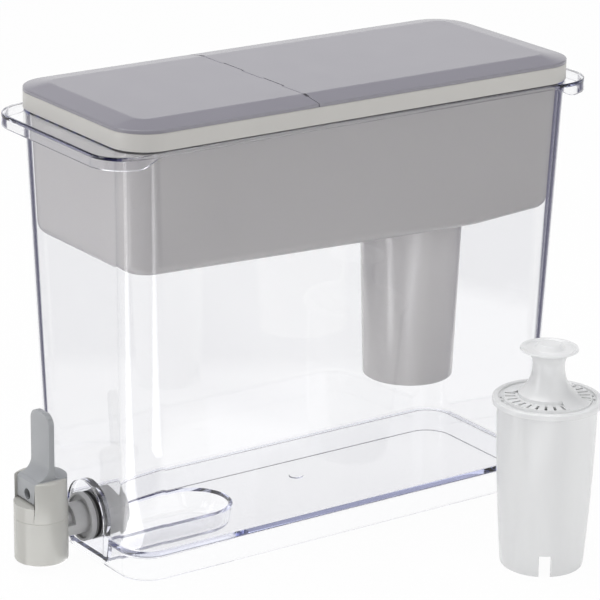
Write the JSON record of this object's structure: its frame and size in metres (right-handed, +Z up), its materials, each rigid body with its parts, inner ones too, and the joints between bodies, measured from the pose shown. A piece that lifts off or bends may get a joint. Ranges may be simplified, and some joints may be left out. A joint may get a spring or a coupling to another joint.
{
  "type": "gravity water filter with tap",
  "caption": "Clear countertop water tank with a drop-in filtering reservoir, a lid with a hinged fill flap, a lever tap at the front end and a spare filter cartridge beside it.",
  "frame": {"origin": "centre of the tank's foot on the surface it stands on", "axes": "+Z up, +Y from the tap end to the rear end, X across the tank with the spare cartridge at +X"},
  "size_m": [0.245, 0.3551, 0.266],
  "materials": {
    "clear_plastic": "clear moulded plastic with a faint blue tint",
    "grey_plastic": "satin warm grey",
    "cream_plastic": "satin light warm grey",
    "lid_grey": "satin cool grey",
    "steel": "drawn steel wire",
    "tap_plastic": "satin light warm grey",
    "lever_plastic": "satin cool grey",
    "seal_rubber": "dark silicone",
    "cup_rubber": "translucent white silicone",
    "stem_plastic": "white acetal",
    "nut_plastic": "satin mid grey",
    "white_plastic": "semi gloss white",
    "carbon": "loose black granules",
    "screen_mesh": "fine white mesh"
  },
  "bodies": {
    "tank_body": {"tank": "clear_plastic", "tank_floor": "clear_plastic", "tank_rim": "clear_plastic", "tap_barrel": "tap_plastic", "tap_bonnet": "tap_plastic", "bonnet_seal": "seal_rubber", "tap_shank": "nut_plastic", "outer_washer": "seal_rubber", "inner_washer": "seal_rubber", "shank_nut": "nut_plastic"},
    "reservoir_body": {"reservoir": "grey_plastic"},
    "filter_body": {"filter_housing": "white_plastic", "filter_cap": "white_plastic", "filter_media": "carbon", "filter_screens": "screen_mesh"},
    "lid_body": {"lid_base": "cream_plastic", "rear_panel": "lid_grey", "hinge_rod": "steel"},
    "flap_body": {"fill_flap": "lid_grey"},
    "lever_body": {"tap_lever": "lever_plastic"},
    "stem_body": {"valve_stem": "stem_plastic", "stem_pin": "steel", "seat_cup": "cup_rubber", "return_spring": "steel"},
    "spare_body": {"spare_housing": "white_plastic", "spare_cap": "white_plastic", "spare_media": "carbon", "spare_screens": "screen_mesh"}
  },
  "joints": [
    {"name": "reservoir_lift", "type": "slide", "parent": "tank_body", "child": "reservoir_body", "axis": [0, 0, 1], "range_m": [0, 0.2]},
    {"name": "filter_lift", "type": "slide", "parent": "reservoir_body", "child": "filter_body", "axis": [0, 0, 1], "range_m": [0, 0.035]},
    {"name": "lid_lift", "type": "slide", "parent": "reservoir_body", "child": "lid_body", "axis": [0, 0, 1], "range_m": [0, 0.05]},
    {"name": "flap_hinge", "type": "hinge", "parent": "lid_body", "child": "flap_body", "pos_m": [0, -0.0326, 0.2652], "axis": [-1, 0, 0], "range_deg": [0, 95]},
    {"name": "lever_tilt", "type": "hinge", "parent": "tank_body", "child": "lever_body", "pos_m": [0, -0.1785, 0.047], "axis": [1, 0, 0], "range_deg": [0, 30], "stiffness_Nm_per_rad": 0.1, "springref_deg": -17.19},
    {"name": "stem_lift", "type": "slide", "parent": "tank_body", "child": "stem_body", "axis": [0, 0, 1], "range_m": [0, 0.0027], "deforming": ["return_spring"]},
    {"name": "spare_lift", "type": "slide", "parent": "tank_body", "child": "spare_body", "axis": [0, 0, 1], "range_m": [0, 0.2]}
  ],
  "couplings": [
    {"joint": "stem_lift", "follows": "lever_tilt", "m_per_rad": 0.00497}
  ]
}
